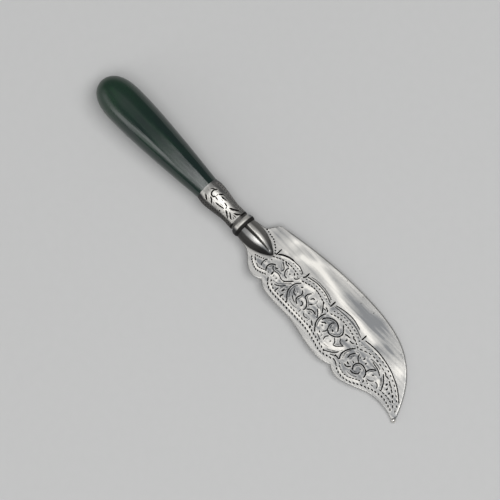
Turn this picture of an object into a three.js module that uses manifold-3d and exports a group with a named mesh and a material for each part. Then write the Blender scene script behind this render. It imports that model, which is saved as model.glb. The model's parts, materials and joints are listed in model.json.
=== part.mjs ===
// Butter spreader: a polished hardstone handle joined by a ferrule and collar to a broad silver blade.
// Millimetres. The knife lies along X from butt to tip, its cutting edge towards +Y, engraved face up.
import * as THREE from 'three';
import { mergeVertices } from 'three/addons/utils/BufferGeometryUtils.js';
import Module from 'manifold-3d';

const wasm = await Module();
wasm.setup();

// Stone handle
const handleLength = 55.45; // butt to ferrule mouth
const handleDiameter = 15.3; // at the fat part
const handleFatAt = 15; // from the butt
const handleTaperEase = 12; // stretch past the fat part in which the taper sets in
const buttFullness = 3; // power of the rounded butt, 2 is an ellipse
const spigotLength = 8; // reduced end inside the ferrule
const boreDepth = 30; // blind hole for the tang, from the spigot's end

// Ferrule: a thin waisted tube
const ferruleLength = 16.7;
const ferruleWall = 0.5;
const ferruleMouthDiameter = 9.5;
const ferruleBellyDiameter = 10.2;
const ferruleBellyAt = 2.6; // from the mouth
const ferruleWaistDiameter = 7.9;
const ferruleWaistFromEnd = 3.6;
const ferruleEndDiameter = 8.1;
const ferruleLip = 0.05; // ferrule's mouth stands this proud of the stone

// Plate that closes the ferrule, and the half-round collar in front of it
const plateThickness = 0.8;
const plateInset = 0.25; // inside the ferrule's end
const ringWidth = 3;
const ringDiameter = 9.5;
const ringBead = 0.85; // height of the half-round above the ring's flat sides

// Tongue-shaped bolster halves, one on each face of the blade
const bolsterLength = 14.75;
const bolsterRootDiameter = 8.4;
const bolsterSwellDiameter = 8.9;
const bolsterSwellAt = 3.55; // from the root
const bolsterPointPower = 2; // roundness of the tongue towards its point
const fluteWidth = 1.7; // groove along the tongue's crest
const fluteDepth = 0.8;
const fluteLength = 11;

// Blade: a flat sheet with a bevelled cutting edge and a scalloped back
const bladeLength = 88.15; // root to tip bead
const bladeThickness = 1.2;
const edgeRise = 13.95; // axis to the cutting edge at the belly
const backDepth = 14.4; // axis to the deepest scallop
const bladeNeckAt = 4.55; // from the root
const bladeLedge = 0.62; // sheet shows this far beside the tongue's swell
const edgeBevelWidth = 0.9;
const edgeLand = 0.3; // thickness left at the cutting edge
const tipBeadDiameter = 1.8;

// Tang rod and the pitch that sets it
const tangDiameter = 3;
const tangGrip = 4; // length held between the bolster halves
const pitchWall = 0.6; // pitch round the tang in the stone

const clearance = 0.25;

// Fineness of the round surfaces
const roundSegments = 40;
const bolsterSegments = 72;
const curveSteps = 10;
const buttSteps = 12;
const weldDistance = 1e-4;

// Outline of the blade. x is a share of its length, y of the edge rise (cutting edge) or back depth.
// Each row is one curve: two handles and an end point.
const heelCurve = [[0.07, 0.394], [0.08, 0.638], [0.094, 0.695]];
const edgeCurves = [
  [[0.183, 0.832], [0.365, 1], [0.523, 1]],
  [[0.74, 1], [0.906, 0.839], [1.003, -0.7]],
];
const tipBeadAt = [1, 0.743];
const backStart = [0.994, 0.778];
const backCurves = [
  [[0.944, 0.639], [0.864, 0.648], [0.828, 0.743]],
  [[0.74, 0.986], [0.688, 1.111], [0.651, 0.892]],
  [[0.569, 1.16], [0.444, 0.799], [0.376, 0.802]],
  [[0.274, 0.799], [0.227, 0.847], [0.198, 0.625]],
];
const neckHandles = [[0.121, 0.917], [0.098, 0.403]];

// Stations along X
const ferruleStart = handleLength;
const ferruleEnd = ferruleStart + ferruleLength;
const ringStart = ferruleEnd + plateThickness;
const bladeRoot = ringStart + ringWidth;
const spigotEnd = ferruleStart + spigotLength;
const boreBottom = spigotEnd - boreDepth;
const tangEnd = bladeRoot + tangGrip;

const tangRadius = tangDiameter / 2;
const tangHole = tangRadius + clearance;
const boreRadius = tangHole + pitchWall + clearance;
const bolsterRoot = bolsterRootDiameter / 2;
const bolsterSwell = bolsterSwellDiameter / 2;

const silver = new THREE.MeshStandardMaterial({ color: 0xcfcac0, roughness: 0.25, metalness: 1 });
const stone = new THREE.MeshStandardMaterial({ color: 0x14211a, roughness: 0.15, metalness: 0 });
const pitch = new THREE.MeshStandardMaterial({ color: 0x2b1d14, roughness: 0.6, metalness: 0 });

// A solid turned about X from [x, radius] points, which run towards the tip on its outside
function turned(profile, segments = roundSegments) {
  const points = profile.map(([x, radius]) => new THREE.Vector2(radius, x));
  return new THREE.LatheGeometry(points, segments).rotateZ(-Math.PI / 2);
}

// A flat ring or tube that closes on itself
function turnedRing(profile, segments = roundSegments) {
  return turned([...profile, profile[0]], segments);
}

function steps(count, from, to) {
  return Array.from({ length: count + 1 }, (_, i) => from + (to - from) * i / count);
}

function toSolid(geometry) {
  const bare = geometry.clone();
  bare.deleteAttribute('normal');
  bare.deleteAttribute('uv');
  const merged = mergeVertices(bare, weldDistance);
  const vertProperties = new Float32Array(merged.attributes.position.array);
  const triVerts = new Uint32Array(merged.index.array);
  return new wasm.Manifold(new wasm.Mesh({ numProp: 3, vertProperties, triVerts }));
}

function toGeometry(solid) {
  const { vertProperties, triVerts } = solid.getMesh();
  const geometry = new THREE.BufferGeometry();
  geometry.setAttribute('position', new THREE.BufferAttribute(vertProperties, 3));
  geometry.setIndex(new THREE.BufferAttribute(triVerts, 1));
  geometry.computeVertexNormals();
  return geometry;
}

function piece(name, geometry, material) {
  const mesh = new THREE.Mesh(geometry, material);
  mesh.name = name;
  return mesh;
}

// Outer radius of the ferrule at a distance from its mouth, easing from mouth to belly, waist and end
function ferruleRadius(at) {
  const waistAt = ferruleLength - ferruleWaistFromEnd;
  const stations = [
    [0, ferruleMouthDiameter / 2],
    [ferruleBellyAt, ferruleBellyDiameter / 2],
    [waistAt, ferruleWaistDiameter / 2],
    [ferruleLength, ferruleEndDiameter / 2],
  ];
  const next = stations.findIndex(([station]) => at <= station);
  const [x1, r1] = stations[Math.max(next, 1)];
  const [x0, r0] = stations[Math.max(next, 1) - 1];
  return THREE.MathUtils.lerp(r0, r1, THREE.MathUtils.smoothstep(at, x0, x1));
}

const ferruleBoreAt = (at) => ferruleRadius(at) - ferruleWall;

// The stone, turned: a rounded butt, a long taper to the ferrule, a spigot and a blind bore
function stoneHandle() {
  const half = handleDiameter / 2;
  const mouth = ferruleMouthDiameter / 2 - ferruleLip;
  const spigotRadius = Math.min(ferruleBoreAt(0), ferruleBoreAt(spigotLength)) - clearance;
  const butt = steps(buttSteps, 0, 1).map((share) => {
    const x = handleFatAt * share * share; // points crowd towards the butt
    return [x, half * Math.sqrt(1 - Math.pow(1 - x / handleFatAt, buttFullness))];
  });
  const taper = new THREE.QuadraticBezierCurve(
    new THREE.Vector2(handleFatAt, half),
    new THREE.Vector2(handleFatAt + handleTaperEase, half),
    new THREE.Vector2(handleLength, mouth),
  ).getPoints(curveSteps).slice(1).map((point) => [point.x, point.y]);
  const inside = [
    [ferruleStart, spigotRadius],
    [spigotEnd, spigotRadius],
    [spigotEnd, boreRadius],
    [boreBottom, boreRadius],
    [boreBottom, 0],
  ];
  return piece('stone_handle', turned([...butt, ...taper, ...inside]), stone);
}

// Pitch poured round the tang, in the stone's bore and in the ferrule ahead of the spigot
function settingPitch() {
  const waistBore = ferruleWaistDiameter / 2 - ferruleWall;
  const plugRadius = Math.min(ferruleBoreAt(spigotLength), waistBore) - clearance;
  const sleeveRadius = boreRadius - clearance;
  const geometry = turnedRing([
    [boreBottom, tangHole],
    [boreBottom, sleeveRadius],
    [spigotEnd, sleeveRadius],
    [spigotEnd, plugRadius],
    [ferruleEnd, plugRadius],
    [ferruleEnd, tangHole],
  ]);
  return piece('setting_pitch', geometry, pitch);
}

// Round rod from the bottom of the stone's bore to the slot in the blade's root
function tang() {
  const geometry = turned([[boreBottom, 0], [boreBottom, tangRadius], [tangEnd, tangRadius], [tangEnd, 0]]);
  return piece('tang', geometry, silver);
}

function ferrule() {
  const stations = steps(curveSteps, 0, ferruleLength);
  const outside = stations.map((at) => [ferruleStart + at, ferruleRadius(at)]);
  const inside = stations.map((at) => [ferruleStart + at, ferruleBoreAt(at)]).reverse();
  return piece('ferrule', turnedRing([...outside, ...inside]), silver);
}

function ferruleEndPlate() {
  const radius = ferruleEndDiameter / 2 - plateInset;
  const geometry = turnedRing([
    [ferruleEnd, tangHole],
    [ferruleEnd, radius],
    [ringStart, radius],
    [ringStart, tangHole],
  ]);
  return piece('ferrule_end_plate', geometry, silver);
}

function collarRing() {
  const sideRadius = ringDiameter / 2 - ringBead;
  const bead = steps(curveSteps, Math.PI, 0).map((angle) => [
    ringStart + ringWidth * (1 + Math.cos(angle)) / 2,
    sideRadius + ringBead * Math.sin(angle),
  ]);
  return piece('collar_ring', turnedRing([[ringStart, tangHole], ...bead, [bladeRoot, tangHole]]), silver);
}

function bolsterRadius(at) {
  if (at <= bolsterSwellAt) {
    return THREE.MathUtils.lerp(bolsterRoot, bolsterSwell, Math.sin(Math.PI / 2 * at / bolsterSwellAt));
  }
  const share = (at - bolsterSwellAt) / (bolsterLength - bolsterSwellAt);
  return bolsterSwell * (1 - Math.pow(share, bolsterPointPower));
}

// The whole tongue, before it is parted by the blade: a pointed round with a groove along each crest
function wholeTongue() {
  const outside = steps(2 * curveSteps, 0, bolsterLength).map((at) => [bladeRoot + at, bolsterRadius(at)]);
  const geometry = turned([[bladeRoot, 0], ...outside], bolsterSegments);
  const position = geometry.attributes.position;
  for (let i = 0; i < position.count; i += 1) {
    const share = Math.max(0, 1 - (position.getX(i) - bladeRoot) / fluteLength);
    const across = Math.abs(position.getY(i)) / (fluteWidth / 2);
    const radius = Math.hypot(position.getY(i), position.getZ(i));
    const crest = share > 0 && radius > tangHole ? Math.max(0, 1 - across) : 0;
    position.setZ(i, position.getZ(i) - Math.sign(position.getZ(i)) * fluteDepth * Math.sqrt(share) * crest);
  }
  return toSolid(geometry);
}

// One half of the tongue, on the blade's upper (side 1) or lower (side -1) face
function bolsterHalf(name, side) {
  const halfSpace = new THREE.BoxGeometry(2 * bolsterLength, 2 * bolsterSwellDiameter, bolsterSwellDiameter);
  halfSpace.translate(bladeRoot + bolsterLength / 2, 0, side * (bladeThickness + bolsterSwellDiameter) / 2);
  const channel = turned([
    [bladeRoot - tangGrip, 0],
    [bladeRoot - tangGrip, tangHole],
    [tangEnd + clearance, tangHole],
    [tangEnd + clearance, 0],
  ]);
  const half = wholeTongue().intersect(toSolid(halfSpace)).subtract(toSolid(channel));
  return piece(name, toGeometry(half), silver);
}

// Places a share of the blade's length and height in the knife's frame
function bladePoint([along, height], scale) {
  return new THREE.Vector2(bladeRoot + along * bladeLength, height * scale);
}

function curveTo(shape, rows, scale) {
  for (const row of rows) {
    const [first, second, end] = row.map((pair) => bladePoint(pair, scale));
    shape.bezierCurveTo(first.x, first.y, second.x, second.y, end.x, end.y);
  }
}

// Flat outline: heel, cutting edge, tip, scalloped back, and the root with its slot for the tang
function bladeOutline() {
  const neckX = bladeRoot + bladeNeckAt;
  const neckY = bolsterSwell + bladeLedge;
  const backFrom = bladePoint(backStart, -backDepth);
  const [firstHandle, secondHandle] = neckHandles.map((pair) => bladePoint(pair, -backDepth));
  const shape = new THREE.Shape();
  shape.moveTo(bladeRoot, bolsterRoot);
  shape.lineTo(neckX, neckY);
  curveTo(shape, [heelCurve], edgeRise);
  curveTo(shape, edgeCurves, edgeRise);
  shape.lineTo(backFrom.x, backFrom.y);
  curveTo(shape, backCurves, -backDepth);
  shape.bezierCurveTo(firstHandle.x, firstHandle.y, secondHandle.x, secondHandle.y, neckX, -neckY);
  shape.lineTo(bladeRoot, -bolsterRoot);
  shape.lineTo(bladeRoot, -tangHole);
  shape.lineTo(tangEnd, -tangHole);
  shape.lineTo(tangEnd, tangHole);
  shape.lineTo(bladeRoot, tangHole);
  return shape;
}

// A larger sheet that shares only the cutting edge with the blade, bevelled there on both faces
function bevelledSheet() {
  const heel = bladePoint(heelCurve[2], edgeRise);
  const tip = bladePoint(edgeCurves[1][2], edgeRise);
  const lowY = -3 * backDepth;
  const shape = new THREE.Shape();
  shape.moveTo(bladeRoot - bolsterLength, heel.y);
  shape.lineTo(heel.x, heel.y);
  curveTo(shape, edgeCurves, edgeRise);
  shape.lineTo(tip.x + tipBeadDiameter, lowY);
  shape.lineTo(bladeRoot - bolsterLength, lowY);
  const bevelThickness = (bladeThickness - edgeLand) / 2;
  return new THREE.ExtrudeGeometry(shape, {
    depth: edgeLand,
    bevelThickness,
    bevelSize: edgeBevelWidth,
    bevelOffset: -edgeBevelWidth,
    bevelSegments: 1,
    curveSegments: 2 * curveSteps,
  }).translate(0, 0, -edgeLand / 2);
}

function blade() {
  const sheet = new THREE.ExtrudeGeometry(bladeOutline(), {
    depth: bladeThickness,
    bevelEnabled: false,
    curveSegments: 2 * curveSteps,
  }).translate(0, 0, -bladeThickness / 2);
  const beadAt = bladePoint(tipBeadAt, -backDepth);
  const bead = new THREE.SphereGeometry(tipBeadDiameter / 2, curveSteps, curveSteps);
  bead.translate(beadAt.x, beadAt.y, 0);
  const bevelled = toSolid(sheet).intersect(toSolid(bevelledSheet()));
  return piece('blade', toGeometry(bevelled.add(toSolid(bead))), silver);
}

const knife = new THREE.Group();
knife.add(
  stoneHandle(),
  settingPitch(),
  tang(),
  ferrule(),
  ferruleEndPlate(),
  collarRing(),
  bolsterHalf('bolster_front', 1),
  bolsterHalf('bolster_back', -1),
  blade(),
);

// The origin is the middle of the knife's footprint, on the surface it lies on
const bounds = new THREE.Box3().setFromObject(knife);
const centre = bounds.getCenter(new THREE.Vector3());
knife.position.set(-centre.x, -centre.y, -bounds.min.z);

const butterSpreader = new THREE.Group();
butterSpreader.add(knife);

export default butterSpreader;
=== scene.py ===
import json
import math

import bmesh
import bpy
import numpy as np
from mathutils import Matrix, Vector
from mathutils.geometry import delaunay_2d_cdt

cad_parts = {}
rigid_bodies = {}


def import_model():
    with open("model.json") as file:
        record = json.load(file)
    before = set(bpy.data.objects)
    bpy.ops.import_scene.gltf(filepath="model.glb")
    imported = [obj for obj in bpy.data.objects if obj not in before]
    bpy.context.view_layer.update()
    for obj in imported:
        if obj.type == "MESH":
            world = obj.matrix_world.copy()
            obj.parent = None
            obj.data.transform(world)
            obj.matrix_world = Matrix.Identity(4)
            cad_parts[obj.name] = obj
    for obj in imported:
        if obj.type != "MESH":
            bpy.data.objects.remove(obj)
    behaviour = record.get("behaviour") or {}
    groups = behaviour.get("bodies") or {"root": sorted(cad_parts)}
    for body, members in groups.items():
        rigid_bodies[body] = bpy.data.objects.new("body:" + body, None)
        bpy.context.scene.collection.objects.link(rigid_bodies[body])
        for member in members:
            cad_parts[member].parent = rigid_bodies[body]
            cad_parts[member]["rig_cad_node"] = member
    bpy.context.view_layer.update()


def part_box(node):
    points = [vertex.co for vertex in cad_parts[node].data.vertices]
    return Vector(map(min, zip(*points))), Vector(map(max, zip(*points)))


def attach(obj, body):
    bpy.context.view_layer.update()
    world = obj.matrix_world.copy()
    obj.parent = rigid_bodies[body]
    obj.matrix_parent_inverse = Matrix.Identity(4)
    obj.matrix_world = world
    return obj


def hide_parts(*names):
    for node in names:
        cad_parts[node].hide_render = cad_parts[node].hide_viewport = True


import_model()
scene = bpy.context.scene
scene.view_settings.view_transform = "Standard"
mm = 0.001
weldGap = 1e-7  # m, mesh points closer than this are joined

# The knife's own measure: mm from the butt, from the axis and from the blade's middle plane
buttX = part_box("stone_handle")[0].x
ringLow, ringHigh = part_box("collar_ring")
axisY = (ringLow.y + ringHigh.y) / 2
axisZ = (ringLow.z + ringHigh.z) / 2


def place(points):  # knife mm to the frame's metres
    return np.asarray(points, float) * mm + (buttX, axisY, axisZ)


def station(node, end):  # where a node begins (0) or ends (1), mm from the butt
    return (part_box(node)[end].x - buttX) / mm


def ease(value, low, high):  # 0 below low, 1 above high, smooth between
    share = np.clip((np.asarray(value, float) - low) / (high - low), 0, 1)
    return share * share * (3 - 2 * share)


class Wire:  # an output socket, so that shader maths reads as Python
    def __init__(self, tree, socket=None):
        self.tree = tree
        self.socket = socket

    def node(self, kind, settings=None, sockets=None, out=0):
        made = self.tree.nodes.new(kind)
        for key, value in (settings or {}).items():
            setattr(made, key, value)
        for key, value in (sockets or {}).items():
            if isinstance(value, Wire):
                self.tree.links.new(value.socket, made.inputs[key])
            else:
                made.inputs[key].default_value = value
        return Wire(self.tree, made.outputs[out])

    def maths(self, operation, first, second):
        return self.node("ShaderNodeMath", {"operation": operation}, {0: first, 1: second})

    def __add__(self, other):
        return self.maths("ADD", self, other)

    def __radd__(self, other):
        return self.maths("ADD", other, self)

    def __sub__(self, other):
        return self.maths("SUBTRACT", self, other)

    def __rsub__(self, other):
        return self.maths("SUBTRACT", other, self)

    def __mul__(self, other):
        return self.maths("MULTIPLY", self, other)

    def __rmul__(self, other):
        return self.maths("MULTIPLY", other, self)

    def rise(self, low, high):  # 0 at low, 1 at high, eased
        ends = {"Value": self, "From Min": low, "From Max": high}
        return self.node("ShaderNodeMapRange", {"interpolation_type": "SMOOTHSTEP"}, ends)

    def tint(self, clear, full):  # a colour by this mask
        return self.node("ShaderNodeMix", {"data_type": "RGBA"}, {0: self, 6: clear, 7: full}, 2)

    def noise(self, scale, detail=2.0, stretch=None):
        where = self.node("ShaderNodeTexCoord", out=3)
        if stretch:
            where = self.node("ShaderNodeVectorMath", {"operation": "MULTIPLY"}, {0: where, 1: stretch})
        return self.node("ShaderNodeTexNoise", None, {"Vector": where, "Scale": scale, "Detail": detail})

    def painted(self, name):  # a value that the mesh carries
        return self.node("ShaderNodeAttribute", {"attribute_name": name}, out=2)

    def along(self, axis):  # the place on the object, m
        where = self.node("ShaderNodeTexCoord", out=3)
        return self.node("ShaderNodeSeparateXYZ", None, {0: where}, axis)

    def bump(self, height, distance):
        return self.node("ShaderNodeBump", None, {"Height": height, "Distance": distance})


def finish(name, sockets):
    made = bpy.data.materials.new(name)
    made.use_nodes = True
    shader = made.node_tree.nodes["Principled BSDF"]
    wire = Wire(made.node_tree)
    for key, value in sockets(wire).items():
        if isinstance(value, Wire):
            made.node_tree.links.new(value.socket, shader.inputs[key])
        else:
            shader.inputs[key].default_value = value
    return made


def makePiece(name, points, faces, look, node, sharp, painted=None):
    mesh = bpy.data.meshes.new(name)
    mesh.from_pydata(place(points).tolist(), [], faces)
    for key, values in (painted or {}).items():
        layer = mesh.attributes.new(key, "FLOAT", "POINT")
        layer.data.foreach_set("value", np.asarray(values, np.float32))
    shell = bmesh.new()
    shell.from_mesh(mesh)
    bmesh.ops.remove_doubles(shell, verts=shell.verts, dist=weldGap)
    loose = [point for point in shell.verts if not point.link_faces]
    bmesh.ops.delete(shell, geom=loose, context="VERTS")
    bmesh.ops.recalc_face_normals(shell, faces=shell.faces)
    shell.to_mesh(mesh)
    shell.free()
    mesh.shade_smooth()
    mesh.set_sharp_from_angle(angle=math.radians(sharp))
    mesh.materials.append(look)
    piece = bpy.data.objects.new(name, mesh)
    scene.collection.objects.link(piece)
    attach(piece, "root")
    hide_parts(node)
    print(name, len(mesh.polygons), "faces")
    return piece


def turned(profile, segments, closed=False):  # [x, radius] points swept about the knife's axis
    profile = np.asarray(profile, float)
    turns = np.arange(segments) * 2 * math.pi / segments
    points = [(x, r * math.sin(t), r * math.cos(t)) for t in turns for x, r in profile]
    count = len(profile)
    last = count if closed else count - 1
    faces = []
    for i in range(segments):
        here, there = i * count, (i + 1) % segments * count
        for j in range(last):
            k = (j + 1) % count
            corners = [here + j, here + k, there + k, there + j]
            if profile[j][1] == 0:
                corners.pop(3)
            elif profile[k][1] == 0:
                corners.pop(2)
            faces.append(corners)
    return points, faces


def bezier(points, count):
    points = np.asarray(points, float)
    share = np.linspace(0, 1, count + 1)[:, None]
    while len(points) > 1:
        points = [a * (1 - share) + b * share for a, b in zip(points[:-1], points[1:])]
    return points[0]


# Lines through given points, as a graver follows them

graver = {
    "curveParts": 12,  # points from one given point to the next
    "stepShare": 0.3,  # longest step along a cut, in its widths
    "taper": 0.9,  # widths over which a curl closes, and how bluntly
    "point": 0.65,
    "blackAt": 0.22,  # reach into a cut at which it is black
    "swell": 1.0,  # a long cut's opening against its drawn width
    "nickSwell": 0.85,  # more than that for the shortest cuts
    "nickReach": 2.5,  # length at which a cut counts as long
    "overrun": 0.2,  # how far a cut runs past its drawn ends
    "dotSwell": 0.85,
    "dotTaper": 0.3,
    "dashSwell": 1.08,
    "dashStretch": 1.04,
    "dashStep": 0.16,
    "dashTaper": 0.25,
    "faintSlope": 0.42,  # steepness of the faint cuts' sides
    "faintDashSlope": 0.46,
    "shadeOff": 0.7,  # from a long curl to the fine line inside it
    "shadeWidth": 0.24,
    "shadeSlope": 0.7,
    "shadeFrom": 3.0,  # shortest curl that gets one
    "shadeStep": 0.3,
    "shadeEvery": 4,  # it follows each fourth point of the curl
    "shadeTrim": (5, 4),  # and leaves out a fifth at the start, a quarter at the end
    "skirt": 0.22,  # from a cut to the line of mesh points beside it
    "lookPast": 0.8,  # how far beside a cut it still counts as near
    "farOff": 9.0,  # stands for no cut near
    "fringe": 0.3,  # reach of the painted highlight beside a cut
}
net = {
    "weld": 1e-5,  # mm, points closer than this are one
    "insideOnly": 1,  # keeps what lies inside the border
    "clear": 0.1,  # from a cut's skirt to the plain mesh points
    "rowShare": 0.87,  # rows stand closer than the points in them
}


def strides(line):  # how long each step of a line is
    return np.linalg.norm(np.diff(line, axis=0), axis=1)


def headings(line):  # unit vectors along a line
    run = np.gradient(line, axis=0)
    return run / np.linalg.norm(run, axis=1)[:, None]


def evenly(line, step):
    run = np.concatenate([[0], np.cumsum(strides(line))])
    count = max(3, int(math.ceil(run[-1] / step)) + 1)
    at = np.linspace(0, run[-1], count)
    return np.stack([np.interp(at, run, line[:, i]) for i in range(2)], 1)


def through(points, step):  # takes x, y pairs or one row of numbers
    points = np.reshape(np.asarray(points, float), (-1, 2))
    if len(points) == 2:
        return evenly(points, step)
    ends = np.concatenate([[2 * points[0] - points[1]], points, [2 * points[-1] - points[-2]]])
    share = np.linspace(0, 1, graver["curveParts"], endpoint=False)[:, None]
    parts = []
    for a, b, c, d in zip(ends[:-3], ends[1:-2], ends[2:-1], ends[3:]):
        bend = (2 * a - 5 * b + 4 * c - d) * share ** 2 + (3 * b - a - 3 * c + d) * share ** 3
        parts.append(b + ((c - a) * share + bend) / 2)
    return evenly(np.concatenate([*parts, points[-1:]]), step)


# A V cut that closes towards its ends
def stroke(width, *numbers, step=0.3, slope=0.9, taper=0.5, point=0.5, overrun=0.0):
    points = np.reshape(numbers, (-1, 2)).astype(float)
    if len(points) == 1:  # a dot
        width *= graver["dotSwell"]
        taper = graver["dotTaper"]
        points = points + np.array([[-width / 2, 0], [width / 2, 0]])
    elif overrun:
        for end, inner in ((0, 1), (-1, -2)):
            way = points[end] - points[inner]
            points[end] += way * overrun / np.linalg.norm(way)
    line = through(points, min(step, width * graver["stepShare"]))
    run = np.linspace(0, 1, len(line)) * strides(line).sum()
    toEnd = np.minimum(run, run[::-1])
    half = width / 2 * np.minimum(1, toEnd / (taper * width)) ** point
    return line, half, slope


def opening(row):  # short nicks are opened wider than long lines
    length = strides(np.reshape(row, (-1, 2))).sum()
    return graver["swell"] + graver["nickSwell"] * max(0, 1 - length / graver["nickReach"])


def dashRow(gap, length, width, lean, *numbers, slope=0.9):  # short cuts in a row along a line
    guide = through(numbers, gap)
    c, s = math.cos(lean), math.sin(lean)
    swung = headings(guide) @ np.array([[c, s], [-s, c]]) * length / 2
    nib = {"step": graver["dashStep"], "slope": slope, "taper": graver["dashTaper"]}
    return [stroke(width, *(at - way), *(at + way), **nib) for at, way in zip(guide, swung)]


def nearLine(points, line):  # distance to a line, and how far along it in whole steps
    span = np.diff(line, axis=0)
    gap = points[:, None] - line[None, :-1]
    share = np.clip((gap * span).sum(2) / (span ** 2).sum(1), 0, 1)
    away = np.linalg.norm(gap - share[..., None] * span, axis=2)
    best = away.argmin(1)
    rows = np.arange(len(points))
    return away[rows, best], best + share[rows, best]


# How deep each point lies in the cuts, how black it is, how far from the nearest one and on which side
def cutDepth(points, cuts):
    depth, ink, facing = np.zeros((3, len(points)))
    beside = np.full(len(points), graver["farOff"])
    for line, half, slope in cuts:
        reach = half.max() + graver["lookPast"]
        close = ((points > line.min(0) - reach) & (points < line.max(0) + reach)).all(1)
        close = np.flatnonzero(close)
        if len(close):
            away, at = nearLine(points[close], line)
            steps = np.arange(len(half))
            width = np.interp(at, steps, half)
            depth[close] = np.maximum(depth[close], slope * (width - away))
            ink[close] = np.maximum(ink[close], slope * slope * (width - away) / graver["blackAt"])
            nearer = away - width < beside[close]
            beside[close[nearer]] = (away - width)[nearer]
            across = points[close, 0] - np.interp(at, steps, line[:, 0])
            facing[close[nearer]] = (across / np.maximum(away, 1e-6))[nearer]
    return depth, ink, beside, facing


def sideways(line):  # unit vectors to the right of a line's run
    run = headings(line)
    return np.stack([run[:, 1], -run[:, 0]], 1)


def sheetPlan(border, lines, fill, cuts):  # a flat net of triangles with the lines and cuts in it
    points = []
    edges = []

    def addLine(line, closed=False):
        first = len(points)
        points.extend(map(tuple, line))
        ids = list(range(first, len(points)))
        edges.extend(zip(ids[:-1], ids[1:]))
        if closed:
            edges.append((ids[-1], ids[0]))
        return ids

    rim = addLine(border, closed=True)
    for line in lines:
        addLine(line)
    for line, half, slope in cuts:
        across = sideways(line)
        for side in (-1, 0, 1):
            addLine(line + side * across * half[:, None])
        for side in (-1, 1):  # beside the cut, so that its bright edges are even
            addLine(line + side * across * (half[:, None] + graver["skirt"]))
    points.extend(map(tuple, fill))
    made = delaunay_2d_cdt([Vector(p) for p in points], edges, [rim], net["insideOnly"], net["weld"])
    found = {old: new for new, olds in enumerate(made[3]) for old in olds}
    return np.array([tuple(p) for p in made[0]]), [list(f) for f in made[2]], [found[i] for i in rim]


def gridFill(low, high, gap, cuts):  # evenly set points, clear of the cuts
    across = np.arange(low[0], high[0], gap)
    up = np.arange(low[1], high[1], gap * net["rowShare"])
    rows = [np.stack([across + gap / 2 * (i % 2), np.full(len(across), y)], 1) for i, y in enumerate(up)]
    points = np.concatenate(rows)
    return points[cutDepth(points, cuts)[2] > graver["skirt"] + net["clear"]]


# Finishes

stoneLook = {
    "deep": (0.001, 0.012, 0.009, 1),
    "green": (0.002, 0.034, 0.010, 1),
    "fleck": (0.02, 0.06, 0.035, 1),
    "buttReach": 24.0,  # mm over which the butt's greener colour fades
    "roughness": 0.1,
    "buttRoughness": 0.22,  # more than that at the butt
    "ior": 1.65,
}


def stoneSockets(wire):
    cloud = wire.noise(85.0, 5.0, (1.0, 1.7, 1.7)).rise(0.42, 0.72)
    wisp = wire.noise(420.0, 4.0, (0.12, 1.4, 1.4)).rise(0.45, 0.7)
    fleck = wire.noise(1500.0, 1.0).rise(0.7, 0.82)
    butt = wire.along(0).rise(buttX + stoneLook["buttReach"] * mm, buttX)
    mask = butt * 0.5 + cloud * 0.25 + wisp * 0.3
    colour = (fleck * 0.35).tint(mask.tint(stoneLook["deep"], stoneLook["green"]), stoneLook["fleck"])
    smear = wire.noise(60.0, 3.0).rise(0.4, 0.75)
    hair = wire.noise(1100.0, 3.0, (0.05, 1.0, 1.0))
    return {
        "Base Color": colour,
        "Roughness": smear * 0.03 + hair * 0.05 + butt * stoneLook["buttRoughness"] + stoneLook["roughness"],
        "IOR": stoneLook["ior"],
        "Normal": wire.bump(hair, 0.00004),
    }


silverLook = {
    "bright": (0.78, 0.757, 0.71, 1),
    "hazeAndShade": (0.215, 0.22, 0.225, 1),
    "sootAndShade": (0.02, 0.019, 0.018, 1),
    "roughness": 0.24,
    "plateDarkening": 0.225,  # darker all over the end plate
}


def silverSockets(wire, darkening=0.0):  # the mesh says where it is inked or in painted shade, where it is hazy or in painted shade, and where it has painted highlights
    inkAndShade = (wire.painted("inkAndShade") + darkening).rise(0.0, 0.3)
    hazeAndShade = wire.painted("hazeAndShade")
    highlight = wire.painted("highlight")
    smear = wire.noise(140.0, 4.0, (0.6, 1.0, 1.0)).rise(0.35, 0.75)
    grain = wire.noise(1400.0, 3.0)
    hair = wire.noise(500.0, 3.0, (0.12, 2.0, 1.0))
    hatch = wire.noise(420.0, 2.0, (1.4, 0.16, 1.0))
    wave = wire.noise(70.0, 1.0)
    dull = hazeAndShade + smear * 0.18 + hair.rise(0.4, 0.7) * (hazeAndShade * 0.3 + 0.08) + grain.rise(0.45, 0.75) * 0.06
    colour = (dull - highlight).tint(silverLook["bright"], silverLook["hazeAndShade"])
    colour = inkAndShade.tint(colour, silverLook["sootAndShade"])
    rough = hazeAndShade * 0.18 + highlight * 0.08 + smear * 0.05 + hair * 0.06 + hatch * 0.04 + inkAndShade * 0.2
    relief = hair * 0.005 + hatch * 0.003 + grain * 0.003 + wave * 0.08
    return {
        "Base Color": colour,
        "Metallic": 1.0,
        "Roughness": rough + silverLook["roughness"],
        "Normal": wire.bump(relief, 0.001),
    }


pitchLook = {
    "dark": (0.02, 0.011, 0.007, 1),
    "brown": (0.05, 0.03, 0.02, 1),
    "roughness": 0.5,
}


def pitchSockets(wire):
    lump = wire.noise(400.0, 4.0)
    return {
        "Base Color": lump.rise(0.3, 0.7).tint(pitchLook["dark"], pitchLook["brown"]),
        "Roughness": lump * 0.2 + pitchLook["roughness"],
        "Normal": wire.bump(lump, 0.00005),
    }


stoneFinish = finish("polished_dark_stone", stoneSockets)
silverFinish = finish("worn_silver_painted_light", silverSockets)
darkenedSilverFinish = finish("darkened_silver", lambda wire: silverSockets(wire, silverLook["plateDarkening"]))
pitchFinish = finish("setting_pitch_brown", pitchSockets)
print("finishes made")

# Stone handle

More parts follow.
